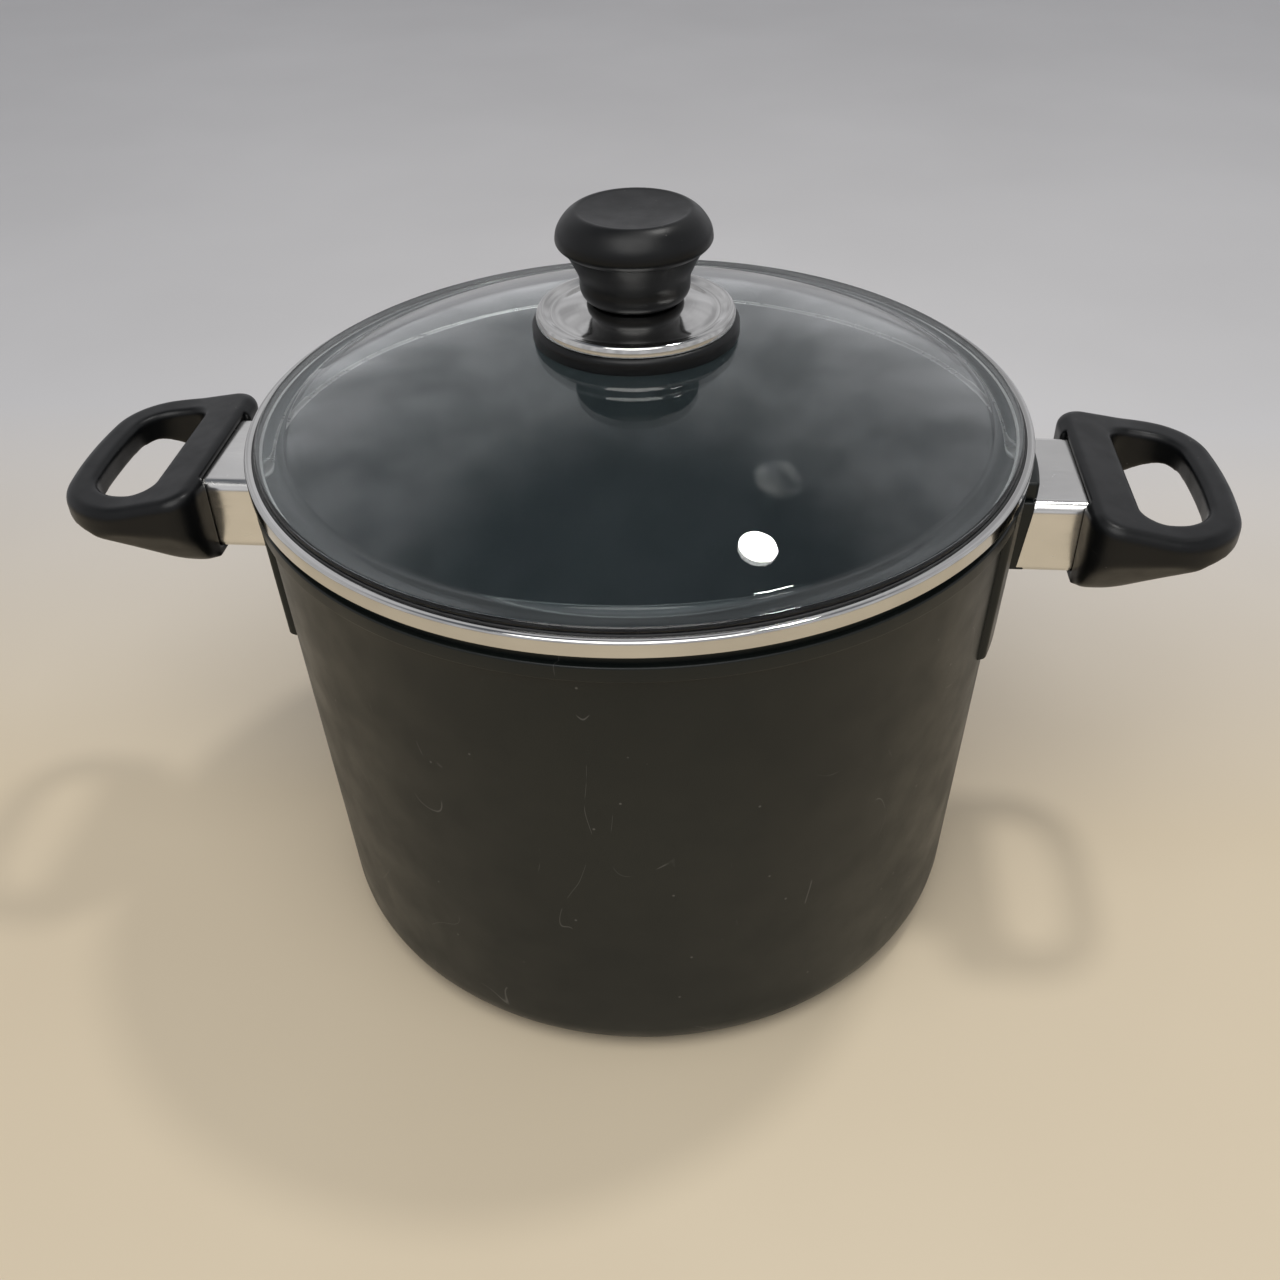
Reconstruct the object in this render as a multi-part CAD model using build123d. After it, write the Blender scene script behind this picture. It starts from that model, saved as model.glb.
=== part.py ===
from build123d import *
import math
import os

# Deep two-handled pot with a domed glass lid. Millimetres, +Z up, origin at the
# centre of the base where it meets the stove. The handles lie along X.

# ---- pot vessel ----
pot_height = 187.0           # base to rim
mouth_radius = 127.4         # outside of the wall at the rim
wall_lean = 7.6              # the wall, carried down to the base, is this much narrower
base_corner = 14.0           # outer corner between wall and base
wall = 4.5
floor_thickness = 6.5
inner_corner = 16.0
rebate_depth = 9.0           # step inside the mouth
rebate_width = 1.8
bead_proud = 1.6             # rim bead, beyond the wall
bead_drop = 5.8              # from the rim to the top of the bead
bead_height = 6.0
edge_round = 0.6
base_ring = 31.8             # from the wall to the shallow dish turned in the base
base_recess_depth = 0.6
groove_count = 5
groove_width = 3.0
groove_depth = 0.5

# ---- handle pads and bosses, cast with the vessel ----
pad_half_angle = 22.0        # degrees each side of X
pad_proud = 2.4
pad_drop = 63.0              # from the rim to the pad's lower edge
boss_proud = 3.6             # flat that the ferrule seats on, beyond the mouth
boss_reach = 9.0             # stub inside the ferrule
cap_proud = 6.0              # lip over the ferrule, beyond the mouth
cap_height = 6.5
cap_half_width = 21.5
cap_round = 1.0
pad_round = 1.2
seat_inset = 0.3             # the seat is this much smaller than the ferrule

# ---- ferrules, grips and their screws ----
ferrule_width = 47.6
ferrule_height = 27.0
ferrule_drop = 16.4          # from the rim to the top of the ferrule
ferrule_wall = 1.2
ferrule_round = 4.0
ferrule_inset = 7.0          # depth of the ferrule inside the grip
socket_gap = 0.15
boss_gap = 0.4
cap_gap = 0.3

grip_reach = 17.4            # from the boss to the pot side of the grip
grip_length = 50.6
grip_half_width = 41.0       # at the ears
grip_bulge = 2.4             # the grip is wider towards its outer corners
grip_bow = 6.0               # how far the outer edge bows
ear_reach = 1.8              # ears stand nearer the pot than grip_start
ear_corner = 10.0
outer_corner = 25.0
grip_rise = 3.2              # top of the grip above the ferrule
grip_dip_drop = 1.7          # top surface past the leg, below the ferrule's top
grip_dip_reach = 25.6        # from the pot side of the grip to where the top levels out
grip_dip_round = 60.0
grip_end_drop = 0.3
grip_lip = 2.6               # grip below the ferrule
flat_bottom = 9.8            # length of the deep part of the grip
outer_bar_depth = 10.0
outer_bar_tip = 8.0          # depth at the very end
lower_width = 60.0           # the underside is narrower than the top
lower_rise = 22.0            # height over which the sides lean in
top_round = 4.0
heel_round = 14.0            # side view, where the deep part ends
bar_start_round = 10.0       # side view, where the outer bar begins
keel_round = 12.0            # front view, lower corners
side_knee_round = 10.0       # front view, where the sides begin to lean
spare = 1.0                  # cutting shapes run this much past what they cut

inner_leg = 15.8             # grip_start to the finger opening
outer_bar = 10.5
side_bar = 10.0              # beside the finger opening, at the leg
opening_taper = 2.7
opening_bow = 2.5
opening_near_round = 7.0
opening_far_round = 14.0
opening_round = 2.5

screw_radius = 2.5
screw_head_radius = 4.4
screw_head_height = 3.0
screw_gap = 0.3
thread_gap = 0.05
washer_radius = 5.0
washer_thickness = 1.0
head_recess = 4.4            # counterbore in the leg, washer and head sit in it
screw_bite = 8.0             # thread inside the boss
hole_margin = 2.5            # blind end of the threaded hole, from the inside of the pot
drive_width = 2.5            # hexagon socket, across flats
drive_depth = 1.6

# ---- lid ----
lid_overhang = 2.6           # outside of the steel rim, beyond the mouth
rim_sheet = 0.7
skirt_drop = 1.8             # the rim reaches this far below the mouth
rim_rise = 3.4               # and this far above it
rim_flange = 2.7             # width of the top flange
rim_lip = 3.0                # lower lip, under the glass
seat_gap = 0.2               # lid above the pot rim
notch_half_angle = 25.5      # skirt is cut away at the handles
notch_rise = 1.3             # top of the cut, above the mouth
seal_thickness = 0.6
seal_proud = 0.3             # seal above the rim's flange

glass_thickness = 4.0
dome_radius = 268.0          # top of the glass, as a sphere
crest_rise = 1.8             # the dome meets the flat edge this much above it
glass_land = 8.6             # flat width at the glass edge
crest_width = 4.0            # over which the dome turns into the flat edge
glass_edge_round = 1.2
glass_hole = 5.0
hole_gap = 0.6

ring_radius = 33.5
ring_rise = 3.4              # top of the ring above the dome
ring_round = 1.9
ring_collar = 13.5           # hub of the ring, up to the disc
ring_well_radius = 19.5      # hollow round the hub
ring_well_depth = 2.0
disc_radius = 32.1
disc_bead_radius = 30.4
disc_bead_rise = 3.4         # top of the bead above the ring
disc_sheet = 0.9
disc_rise = 2.6              # middle of the disc above its bead
disc_land = 15.0             # raised flat that carries the knob

knob_height = 28.9
knob_radius = 24.7
knob_widest = 20.3           # height of the widest place, above the knob's foot
knob_neck = 17.6
knob_waist_height = 8.5      # where the neck begins to flare
knob_neck_top = 21.9
knob_neck_height = 17.0
knob_foot_round = 5.0
knob_top_radius = 18.6
knob_dish = 1.0
insert_radius = 4.5
insert_length = 11.0
knob_screw_radius = 2.0
knob_screw_bite = 8.0        # thread inside the insert
knob_screw_head = 4.2
knob_screw_head_height = 2.6
slot_length = 4.8            # cross recess in its head
slot_width = 1.0
slot_depth = 1.4
under_washer_radius = 11.0
under_washer_thickness = 1.0
gasket_radius = 12.5
gasket_thickness = 1.4
lid_gap = 0.05               # between stacked pieces of the lid

base_radius = mouth_radius - wall_lean
base_recess_radius = base_radius - base_ring
pad_bottom = pot_height - pad_drop
boss_face = mouth_radius + boss_proud
cap_radius = mouth_radius + cap_proud
ferrule_top = pot_height - ferrule_drop
ferrule_bottom = ferrule_top - ferrule_height
ferrule_middle = ferrule_top - ferrule_height / 2
grip_start = boss_face + grip_reach
grip_end = grip_start + grip_length
grip_top = ferrule_top + grip_rise
grip_dip = ferrule_top - grip_dip_drop
grip_dip_x = grip_start + grip_dip_reach
grip_bottom = ferrule_bottom - grip_lip
ferrule_outer_end = grip_start + ferrule_inset
lid_radius = mouth_radius + lid_overhang
skirt_bottom = pot_height - skirt_drop
rim_top = pot_height + rim_rise
notch_top = pot_height + notch_rise
glass_radius = lid_radius - rim_flange - seal_thickness
lip_top = pot_height + seat_gap + rim_sheet
glass_edge_bottom = lip_top + seal_thickness
glass_edge_top = glass_edge_bottom + glass_thickness
dome_edge = glass_radius - glass_land - crest_width
dome_top = glass_edge_top + crest_rise + dome_radius - math.sqrt(dome_radius ** 2 - dome_edge ** 2)
ring_top = dome_top + ring_rise
disc_bead_top = ring_top + disc_bead_rise
disc_centre_top = disc_bead_top + disc_rise


def turned(*points, radius=0.0, arc=360.0, start=0.0):
    """A closed outline of (radius, height) points, turned about Z."""
    outline = Polyline(*points, close=True)
    if radius:
        outline = FilletPolyline(*points, radius=radius, close=True)
    solid = revolve(Plane.XZ * make_face(outline), Axis.Z, arc)
    return Rot(0, 0, start) * solid


def rod(radius, low, high):
    """An upright cylinder on the Z axis."""
    return Pos(0, 0, low) * Cylinder(radius, high - low, align=(Align.CENTER, Align.CENTER, Align.MIN))


def bar(radius, x_low, x_high, height):
    """A cylinder along X at the given height."""
    return Pos(x_low, 0, height) * Rot(0, 90, 0) * Cylinder(
        radius, x_high - x_low, align=(Align.CENTER, Align.CENTER, Align.MIN))


def block(x, y, z):
    """A box from (low, high) pairs."""
    size = [high - low for low, high in (x, y, z)]
    return Pos(x[0], y[0], z[0]) * Box(*size, align=(Align.MIN, Align.MIN, Align.MIN))


def both_sides(right):
    """The right-hand piece and its mirror image."""
    return {"right": right, "left": mirror(right, Plane.YZ)}


def wall_radius(height, offset=0.0):
    """Outside radius of the tapered wall, plus an offset."""
    return base_radius + (mouth_radius - base_radius) * height / pot_height + offset


def sleeve(x_low, x_high, grow):
    """A box with rounded long edges, the ferrule's outside grown all round."""
    width = ferrule_width + 2 * grow
    height = ferrule_height + 2 * grow
    section = Plane.YZ * RectangleRounded(width, height, max(ferrule_round + grow, 0.5))
    return Pos(x_low, 0, ferrule_middle) * extrude(section, x_high - x_low)


# ---- pot ----

def vessel():
    bead_top = pot_height - bead_drop
    bead_low = bead_top - bead_height
    bead = wall_radius(bead_top) + bead_proud
    outside = turned(
        (0, 0), (base_radius, 0), (wall_radius(bead_low), bead_low), (bead, bead_low + bead_proud),
        (bead, bead_top), (wall_radius(bead_top), bead_top), (mouth_radius, pot_height), (0, pot_height),
        radius=[0, base_corner, 2 * edge_round, edge_round, edge_round, 0, edge_round, 0])
    ledge = pot_height - rebate_depth
    above = pot_height + wall
    mouth = mouth_radius - wall + rebate_width
    inside = turned(
        (0, floor_thickness), (base_radius - wall, floor_thickness), (wall_radius(ledge, -wall), ledge),
        (wall_radius(ledge, rebate_width - wall), ledge), (mouth, pot_height), (mouth, above), (0, above),
        radius=[0, inner_corner, edge_round, 0, 0, 0, 0])
    return outside - inside


def base_cuts():
    cuts = [rod(base_recess_radius, 0, base_recess_depth)]
    pitch = base_recess_radius / (groove_count + 1)
    for index in range(groove_count):
        middle = pitch * (index + 1)
        top = base_recess_depth + groove_depth
        cuts.append(rod(middle + groove_width / 2, 0, top) - rod(middle - groove_width / 2, 0, top))
    return cuts


def handle_pad():
    """A raised patch that follows the wall, with the flat boss and its lip."""
    top = pot_height - bead_drop
    patch = turned(
        (wall_radius(pad_bottom, -wall / 2), pad_bottom),
        (wall_radius(pad_bottom, pad_proud), pad_bottom),
        (wall_radius(top, pad_proud), top),
        (wall_radius(top, -wall / 2), top),
        arc=2 * pad_half_angle, start=-pad_half_angle)
    face_edges = patch.edges().filter_by(lambda e: on_pad_face(e) and e.center().Z < top - pad_round)
    patch = fillet(face_edges, pad_round)
    core = wall_radius(ferrule_bottom, -wall / 2)
    seat_half = ferrule_width / 2 - seat_inset
    seat_low = ferrule_bottom + seat_inset
    seat = block((core, boss_face), (-seat_half, seat_half), (seat_low, ferrule_top + cap_gap))
    stub = sleeve(core, boss_face + boss_reach, -ferrule_wall - boss_gap)
    cap_low = ferrule_top + cap_gap
    cap = rod(cap_radius, cap_low, cap_low + cap_height)
    cap &= block((core, cap_radius), (-cap_half_width, cap_half_width), (0, pot_height))
    cap = fillet(cap.edges().filter_by(lambda e: e.center().X > cap_radius - pad_proud * 2), cap_round)
    return [patch, seat, stub, cap]


def on_pad_face(edge):
    middle = edge.center()
    return math.hypot(middle.X, middle.Y) > wall_radius(middle.Z, pad_proud / 2)


def pot_body():
    body = vessel()
    pads = handle_pad()
    for angle in (0, 180):
        for piece in pads:
            body += Rot(0, 0, angle) * piece
    blind_end = wall_radius(ferrule_middle, -wall) + hole_margin
    thread = bar(screw_radius + thread_gap, blind_end, boss_face + boss_reach + 1, ferrule_middle)
    for angle in (0, 180):
        body -= Rot(0, 0, angle) * thread
    for cut in base_cuts():
        body -= cut
    return body


def ferrule():
    outer = sleeve(boss_face, ferrule_outer_end, 0)
    return outer - sleeve(boss_face - 1, ferrule_outer_end + 1, -ferrule_wall)


def bowed_plan(near, near_half, far, far_half, bow, near_round, far_round):
    """A D seen from above: straight near edge, spreading sides, bowed far edge."""
    corner = far - bow
    sides = Polyline((corner, far_half), (near, near_half), (near, -near_half), (corner, -far_half))
    end = ThreePointArc(sides @ 1, (far, 0), sides @ 0)
    face = make_face([sides, end])
    face = fillet(face.vertices().group_by(Axis.X)[0], near_round)
    far_vertices = face.vertices().filter_by(lambda v: abs(v.X - corner) < 0.01)
    return fillet(far_vertices, far_round)


def grip_plan():
    """Outline of the grip from above, with its ears on the pot side."""
    return bowed_plan(grip_start - ear_reach, grip_half_width, grip_end, grip_half_width + grip_bulge,
                      grip_bow, ear_corner, outer_corner)


def opening_plan():
    """The finger opening."""
    near_half = grip_half_width - side_bar
    return bowed_plan(grip_start + inner_leg, near_half, grip_end - outer_bar, near_half - opening_taper,
                      opening_bow, opening_near_round, opening_far_round)


def grip_side():
    """Side view of the grip: deep at the pot, thin at the outer bar."""
    near = grip_start - ear_reach - spare
    far = grip_end + spare
    end_top = grip_dip - grip_end_drop
    bar_start = grip_end - outer_bar - opening_bow - 2 * spare
    points = [(near, grip_bottom), (near + flat_bottom, grip_bottom), (bar_start, end_top - outer_bar_depth),
              (far, end_top - outer_bar_tip), (far, end_top), (grip_dip_x, grip_dip),
              (near, grip_top + spare / 2)]
    radii = [0, heel_round, bar_start_round, 0, 0, grip_dip_round, 0]
    face = make_face(FilletPolyline(*points, radius=radii, close=True))
    half = grip_half_width + grip_bulge + spare
    return Pos(0, half, 0) * extrude(Plane.XZ * face, 2 * half)


def grip_ends():
    """Front view of the grip: the sides lean in and the lower corners are well rounded."""
    half = grip_half_width + grip_bulge + spare / 2
    low_half = lower_width / 2
    knee = grip_bottom + lower_rise
    high = grip_top + 5
    points = [(-low_half, grip_bottom), (low_half, grip_bottom), (half, knee), (half, high),
              (-half, high), (-half, knee)]
    radii = [keel_round, keel_round, side_knee_round, 0, 0, side_knee_round]
    face = make_face(FilletPolyline(*points, radius=radii, close=True))
    near = grip_start - ear_reach - spare
    return Pos(near, 0, 0) * extrude(Plane.YZ * face, grip_end - near + spare)


def near_opening(edge):
    """Whether an edge belongs to the finger opening."""
    middle = edge.center()
    inside_x = grip_start + inner_leg - 1 < middle.X < grip_end - outer_bar + 1
    return inside_x and abs(middle.Y) < grip_half_width - side_bar + 1


def on_top(edge, margin):
    """Whether an edge runs along the top surface."""
    return all((edge @ t).Z > grip_dip - margin for t in (0, 0.5, 1))


def grip():
    depth = grip_top - grip_bottom
    solid = extrude(Pos(0, 0, grip_bottom - 1) * grip_plan(), depth + 5)
    solid &= grip_side()
    solid &= grip_ends()
    solid -= extrude(Pos(0, 0, grip_bottom - 2) * opening_plan(), depth + 7)
    rim = solid.edges().filter_by(lambda e: on_top(e, 3) and not near_opening(e) and not crosses_top(e))
    solid = fillet(rim, top_round)
    mouth = solid.edges().filter_by(lambda e: on_top(e, 1.5) and near_opening(e))
    solid = fillet(mouth, opening_round)
    notch_half = ferrule_width / 2 + socket_gap
    solid -= block((grip_start - 10, grip_start), (-notch_half, notch_half), (ferrule_middle, grip_top + 5))
    solid -= sleeve(grip_start - 10, ferrule_outer_end + socket_gap, socket_gap)
    near = grip_start + inner_leg
    solid -= bar(screw_radius + screw_gap, grip_start, near + 1, ferrule_middle)
    solid -= bar(washer_radius + screw_gap, near - head_recess, near + 1, ferrule_middle)
    return solid


def crosses_top(edge):
    """Whether an edge is a seam that runs across the top surface."""
    middle = edge.center()
    return abs(middle.Y) < grip_half_width - side_bar / 2 and abs(middle.X - grip_dip_x) < 20


def grip_washer():
    low = grip_start + inner_leg - head_recess
    return bar(washer_radius, low, low + washer_thickness, ferrule_middle) - bar(
        screw_radius + screw_gap, low - 1, low + 2, ferrule_middle)


def grip_screw():
    seat = grip_start + inner_leg - head_recess + washer_thickness
    tip = boss_face + boss_reach - screw_bite
    head = bar(screw_head_radius, seat, seat + screw_head_height, ferrule_middle)
    head = fillet(head.edges().sort_by(Axis.X)[-1], 0.8)
    screw = head + bar(screw_radius, tip, seat, ferrule_middle)
    socket = Plane.YZ * RegularPolygon(drive_width / math.sqrt(3), 6)
    floor = seat + screw_head_height - drive_depth
    return screw - Pos(floor, 0, ferrule_middle) * extrude(socket, drive_depth + 1)


# ---- lid ----

def dome_height(radius, sink=0.0):
    """Height of the dome's top surface, or of a surface below it."""
    return dome_top - dome_radius + math.sqrt((dome_radius - sink) ** 2 - radius ** 2)


def dome_arc(start, end, sink):
    middle = (start + end) / 2
    return ThreePointArc(*[(r, dome_height(r, sink)) for r in (start, middle, end)])


def lid_glass():
    inner = glass_radius - glass_land
    upper = dome_arc(glass_hole, dome_edge, 0)
    lower = dome_arc(dome_edge - 1, glass_hole, glass_thickness)
    crest = Spline(upper @ 1, (inner + 1, glass_edge_top), tangents=(upper % 1, (1, 0)))
    rise = Polyline(crest @ 1, (glass_radius - glass_edge_round, glass_edge_top))
    bulge = ThreePointArc(rise @ 1, (glass_radius, (glass_edge_top + glass_edge_bottom) / 2),
                          (glass_radius - glass_edge_round, glass_edge_bottom))
    land = Line(bulge @ 1, (inner, glass_edge_bottom))
    sweep_in = Spline(land @ 1, lower @ 0, tangents=((-1, 0), lower % 0))
    close = Line(lower @ 1, upper @ 0)
    face = make_face([upper, crest, rise, bulge, land, sweep_in, lower, close])
    return revolve(Plane.XZ * face, Axis.Z)


def lid_rim():
    inner = lid_radius - rim_flange
    lip_low = lip_top - rim_sheet
    channel = turned(
        (lid_radius, skirt_bottom), (lid_radius, rim_top), (inner, rim_top), (inner, rim_top - rim_sheet),
        (lid_radius - rim_sheet, rim_top - rim_sheet), (lid_radius - rim_sheet, lip_top),
        (glass_radius - rim_lip, lip_top), (glass_radius - rim_lip, lip_low),
        (lid_radius - rim_sheet, lip_low), (lid_radius - rim_sheet, skirt_bottom),
        radius=[0.2, 1.2, 0.2, 0.2, 0, 0, 0.2, 0.2, 0, 0.2])
    inner_cut = lid_radius - rim_sheet - 1.2
    for start in (-notch_half_angle, 180 - notch_half_angle):
        channel -= turned((inner_cut, skirt_bottom - 1), (lid_radius + 1, skirt_bottom - 1),
                          (lid_radius + 1, notch_top), (inner_cut, notch_top),
                          arc=2 * notch_half_angle, start=start)
    return channel


def lid_rim_seal():
    outer = lid_radius - rim_sheet - lid_gap
    low = lip_top + lid_gap
    high = rim_top - rim_sheet - lid_gap
    inner = glass_radius + lid_gap
    bed = glass_edge_bottom - lid_gap
    bed_inner = glass_radius - rim_lip + 1
    flange = lid_radius - rim_flange - lid_gap
    crest = rim_top + seal_proud
    return turned((bed_inner, low), (outer, low), (outer, high), (flange, high), (flange, crest),
                  (inner, crest), (inner, bed), (bed_inner, bed))


def knob_ring():
    under = dome_arc(ring_radius - 1, glass_hole, -2 * lid_gap)
    hub_top = disc_centre_top - disc_sheet - lid_gap
    well = ring_top - ring_well_depth
    steps = Polyline(under @ 1, (glass_hole, hub_top), (ring_collar, hub_top), (ring_collar, well),
                     (ring_well_radius, well), (ring_well_radius + ring_well_depth, ring_top),
                     (ring_radius - ring_round, ring_top))
    middle = ring_round * (1 - math.sqrt(0.5))
    shoulder = ThreePointArc(steps @ 1, (ring_radius - middle, ring_top - middle),
                             (ring_radius, ring_top - ring_round))
    side = Line(shoulder @ 1, (ring_radius, dome_height(ring_radius) + 1.0))
    foot = Line(side @ 1, under @ 0)
    return revolve(Plane.XZ * make_face([under, steps, shoulder, side, foot]), Axis.Z)


def knob_disc():
    rim_low = ring_top + lid_gap
    top = Spline((disc_land, disc_centre_top), (disc_land + 8, disc_centre_top - 2.2),
                 (disc_bead_radius - 2.4, disc_bead_top - 1.1), tangents=((1, -0.15), (1, -0.05)))
    bead = ThreePointArc(top @ 1, (disc_bead_radius, disc_bead_top), (disc_radius, disc_bead_top - 1.6))
    skirt = Line(bead @ 1, (disc_radius, rim_low))
    hem = Line(skirt @ 1, (disc_radius - disc_sheet, rim_low))
    inner_bead = ThreePointArc(hem @ 1, (disc_bead_radius, disc_bead_top - disc_sheet),
                               (disc_bead_radius - 2.4, disc_bead_top - 1.1 - disc_sheet))
    under = Spline(inner_bead @ 1, (disc_land + 8, disc_centre_top - 2.2 - disc_sheet),
                   (disc_land, disc_centre_top - disc_sheet), tangents=((-1, 0.05), (-1, 0.15)))
    hole = knob_screw_radius + hole_gap
    centre = Polyline(under @ 1, (hole, disc_centre_top - disc_sheet), (hole, disc_centre_top), top @ 0)
    return revolve(Plane.XZ * make_face([top, bead, skirt, hem, inner_bead, under, centre]), Axis.Z)


def knob():
    foot = disc_centre_top + lid_gap
    neck_top = foot + knob_neck_height
    widest = foot + knob_widest
    top = foot + knob_height
    flare = (knob_waist_height + knob_neck_height) / 2
    side = Spline((knob_neck, foot + knob_foot_round), (knob_neck + 0.1, foot + knob_waist_height),
                  ((knob_neck + knob_neck_top) / 2, foot + flare), (knob_neck_top, neck_top),
                  tangents=((0, 1), (0.5, 1)))
    base = Line((insert_radius + lid_gap, foot), (knob_neck - knob_foot_round, foot))
    middle = knob_foot_round * (1 - math.sqrt(0.5))
    corner = ThreePointArc(base @ 1, (knob_neck - middle, foot + middle), side @ 0)
    under = Spline(side @ 1, (knob_radius - 1.4, neck_top + 0.9), (knob_radius, widest),
                   tangents=((1, -0.1), (0, 1)))
    crown = Spline(under @ 1, (knob_radius - 1.7, widest + 4.6), (knob_top_radius, top),
                   tangents=((0, 1), (-1, 0.28)))
    dish_radius = (knob_top_radius ** 2 + knob_dish ** 2) / (2 * knob_dish)
    dish_middle = top - knob_dish + dish_radius - math.sqrt(dish_radius ** 2 - (knob_top_radius / 2) ** 2)
    dish = ThreePointArc(crown @ 1, (knob_top_radius / 2, dish_middle), (0, top - knob_dish))
    bore_top = foot + insert_length + lid_gap
    bore = Polyline(dish @ 1, (0, bore_top), (insert_radius + lid_gap, bore_top), base @ 0)
    return revolve(Plane.XZ * make_face([base, corner, side, under, crown, dish, bore]), Axis.Z)


def knob_insert():
    low = disc_centre_top + 2 * lid_gap
    brass = rod(insert_radius, low, low + insert_length - lid_gap)
    groove_low = low + insert_length * 0.4
    groove = rod(insert_radius + 1, groove_low, groove_low + 1.5) - rod(insert_radius - 0.8, 0, 300)
    return brass - groove - rod(knob_screw_radius + thread_gap, low - 1, low + insert_length - 2)


def under_level():
    """Underside of the glass at its centre, less a gap for the curve."""
    return dome_height(glass_hole, glass_thickness) - (gasket_radius ** 2) / (2 * dome_radius) - lid_gap


def knob_gasket():
    high = under_level()
    return rod(gasket_radius, high - gasket_thickness, high) - rod(glass_hole, high - 5, high + 1)


def knob_washer():
    high = under_level() - gasket_thickness - lid_gap
    plate = rod(under_washer_radius, high - under_washer_thickness, high)
    plate = fillet(plate.edges().sort_by(Axis.Z)[0], under_washer_thickness * 0.6)
    return plate - rod(knob_screw_radius + hole_gap, high - 5, high + 1)


def knob_screw():
    seat = under_level() - gasket_thickness - under_washer_thickness - 2 * lid_gap
    tip = disc_centre_top + knob_screw_bite
    head = rod(knob_screw_head, seat - knob_screw_head_height, seat)
    head = fillet(head.edges().sort_by(Axis.Z)[0], 1.2)
    screw = head + rod(knob_screw_radius, seat, tip)
    low = seat - knob_screw_head_height
    across = (-slot_width / 2, slot_width / 2)
    along = (-slot_length / 2, slot_length / 2)
    for x, y in ((along, across), (across, along)):
        screw -= block(x, y, (low - 1, low + slot_depth))
    return screw


nodes = {
    "pot_body": pot_body(),
    "lid_glass": lid_glass(),
    "lid_rim": lid_rim(),
    "lid_rim_seal": lid_rim_seal(),
    "knob": knob(),
    "knob_disc": knob_disc(),
    "knob_ring": knob_ring(),
    "knob_insert": knob_insert(),
    "knob_screw": knob_screw(),
    "knob_washer": knob_washer(),
    "knob_gasket": knob_gasket(),
}
for maker in (ferrule, grip, grip_screw, grip_washer):
    for side, piece in both_sides(maker()).items():
        nodes[f"{side}_{maker.__name__}"] = piece

os.makedirs("parts", exist_ok=True)
for name, piece in nodes.items():
    export_step(piece, f"parts/{name}.step")
    print(f"{name:20s} {piece.volume:12.1f} mm3  solids {len(piece.solids())}")
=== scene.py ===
import math

import bmesh
import bpy
from mathutils import Matrix, Vector


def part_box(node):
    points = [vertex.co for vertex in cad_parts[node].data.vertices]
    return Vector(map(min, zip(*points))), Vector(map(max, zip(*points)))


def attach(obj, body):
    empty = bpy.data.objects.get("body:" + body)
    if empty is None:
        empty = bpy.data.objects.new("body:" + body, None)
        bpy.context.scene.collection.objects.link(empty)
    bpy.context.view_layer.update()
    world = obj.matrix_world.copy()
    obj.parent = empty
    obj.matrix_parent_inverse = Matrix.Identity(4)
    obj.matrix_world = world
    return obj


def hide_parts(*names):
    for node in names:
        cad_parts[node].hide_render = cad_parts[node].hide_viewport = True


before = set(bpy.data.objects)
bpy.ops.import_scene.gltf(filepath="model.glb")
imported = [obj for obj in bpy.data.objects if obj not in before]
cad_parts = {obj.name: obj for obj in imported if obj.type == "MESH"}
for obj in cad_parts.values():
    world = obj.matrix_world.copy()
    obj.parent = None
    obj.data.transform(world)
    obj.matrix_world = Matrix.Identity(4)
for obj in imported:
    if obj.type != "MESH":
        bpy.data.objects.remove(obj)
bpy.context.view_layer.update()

MM = 0.001


def low(node, axis=2):
    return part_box(node)[0][axis] / MM


def high(node, axis=2):
    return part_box(node)[1][axis] / MM


# ---- sizes in millimetres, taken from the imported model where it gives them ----
POT_HEIGHT = high("pot_body")
BASE_RADIUS = 119.8
MOUTH_RADIUS = 127.4
WALL = 4.5
FLOOR = 6.5
BASE_ROUND = 14.0
INNER_ROUND = 16.0
BASE_DISH = 88.0            # radius of the turned recess underneath
DISH_DEPTH = 0.6
GROOVES = 5
GROOVE_WIDTH = 3.0
GROOVE_DEPTH = 0.5
BEAD_TOP = POT_HEIGHT - 5.8
BEAD_LOW = BEAD_TOP - 6.0
BEAD_PROUD = 2.0
REBATE_DEPTH = 9.0          # the step inside the mouth
REBATE_WIDTH = 1.8
LEDGE_WEAR = 0.35           # bare metal each side of the step's height
MOUTH_WEAR = 0.45           # and below the top of the mouth
PAD_ANGLE = 22.0            # degrees each side of the handle
PAD_LOW = 124.0
PAD_PROUD = 2.4
PAD_ROUND = 1.3
PAD_ROWS = (0.0, 0.3, 0.7, PAD_ROUND)
PAD_COLUMNS = (0, 0.1, 0.25, 0.45, 0.6)     # degrees in from a pad's side
LONGEST_STEP = 6.0

FERRULE_IN = low("right_ferrule", 0)
FERRULE_OUT = high("right_ferrule", 0)
FERRULE_LOW = low("right_ferrule")
FERRULE_TOP = high("right_ferrule")
FERRULE_HALF = high("right_ferrule", 1)
FERRULE_WALL = 1.2
FERRULE_ROUND = 4.0
FERRULE_SLANT = 3.0         # its inner end follows the wall, further in at the bottom
FERRULE_ENDS = [(0, -0.35), (0.1, -0.1), (0.35, 0), (1.0, 0)]   # (along, grown) at an end
CAP_RADIUS = 133.4
CAP_HEIGHT = 6.5
CAP_HALF = 21.5
CAP_GAP = 0.3
CAP_BEVEL = 1.0
CAP_STEPS = 12              # each side of the middle
SEAT_INSET = 0.4
SEAT_BEVEL = 0.6

VOXEL = 0.5
WELD = 0.002
SOFT_TOP = 162.0            # below this the grip's edges are moulded round
SOFT_LOW = 150.0
CRISP_OUT = 2.0             # kept crisp this far out of the ferrule
CRISP_SIDE = 1.2            # and this far beside it
CRISP_FADE = 3.0
ROUND_PASSES = 220
EVEN_PASSES = 4

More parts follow.
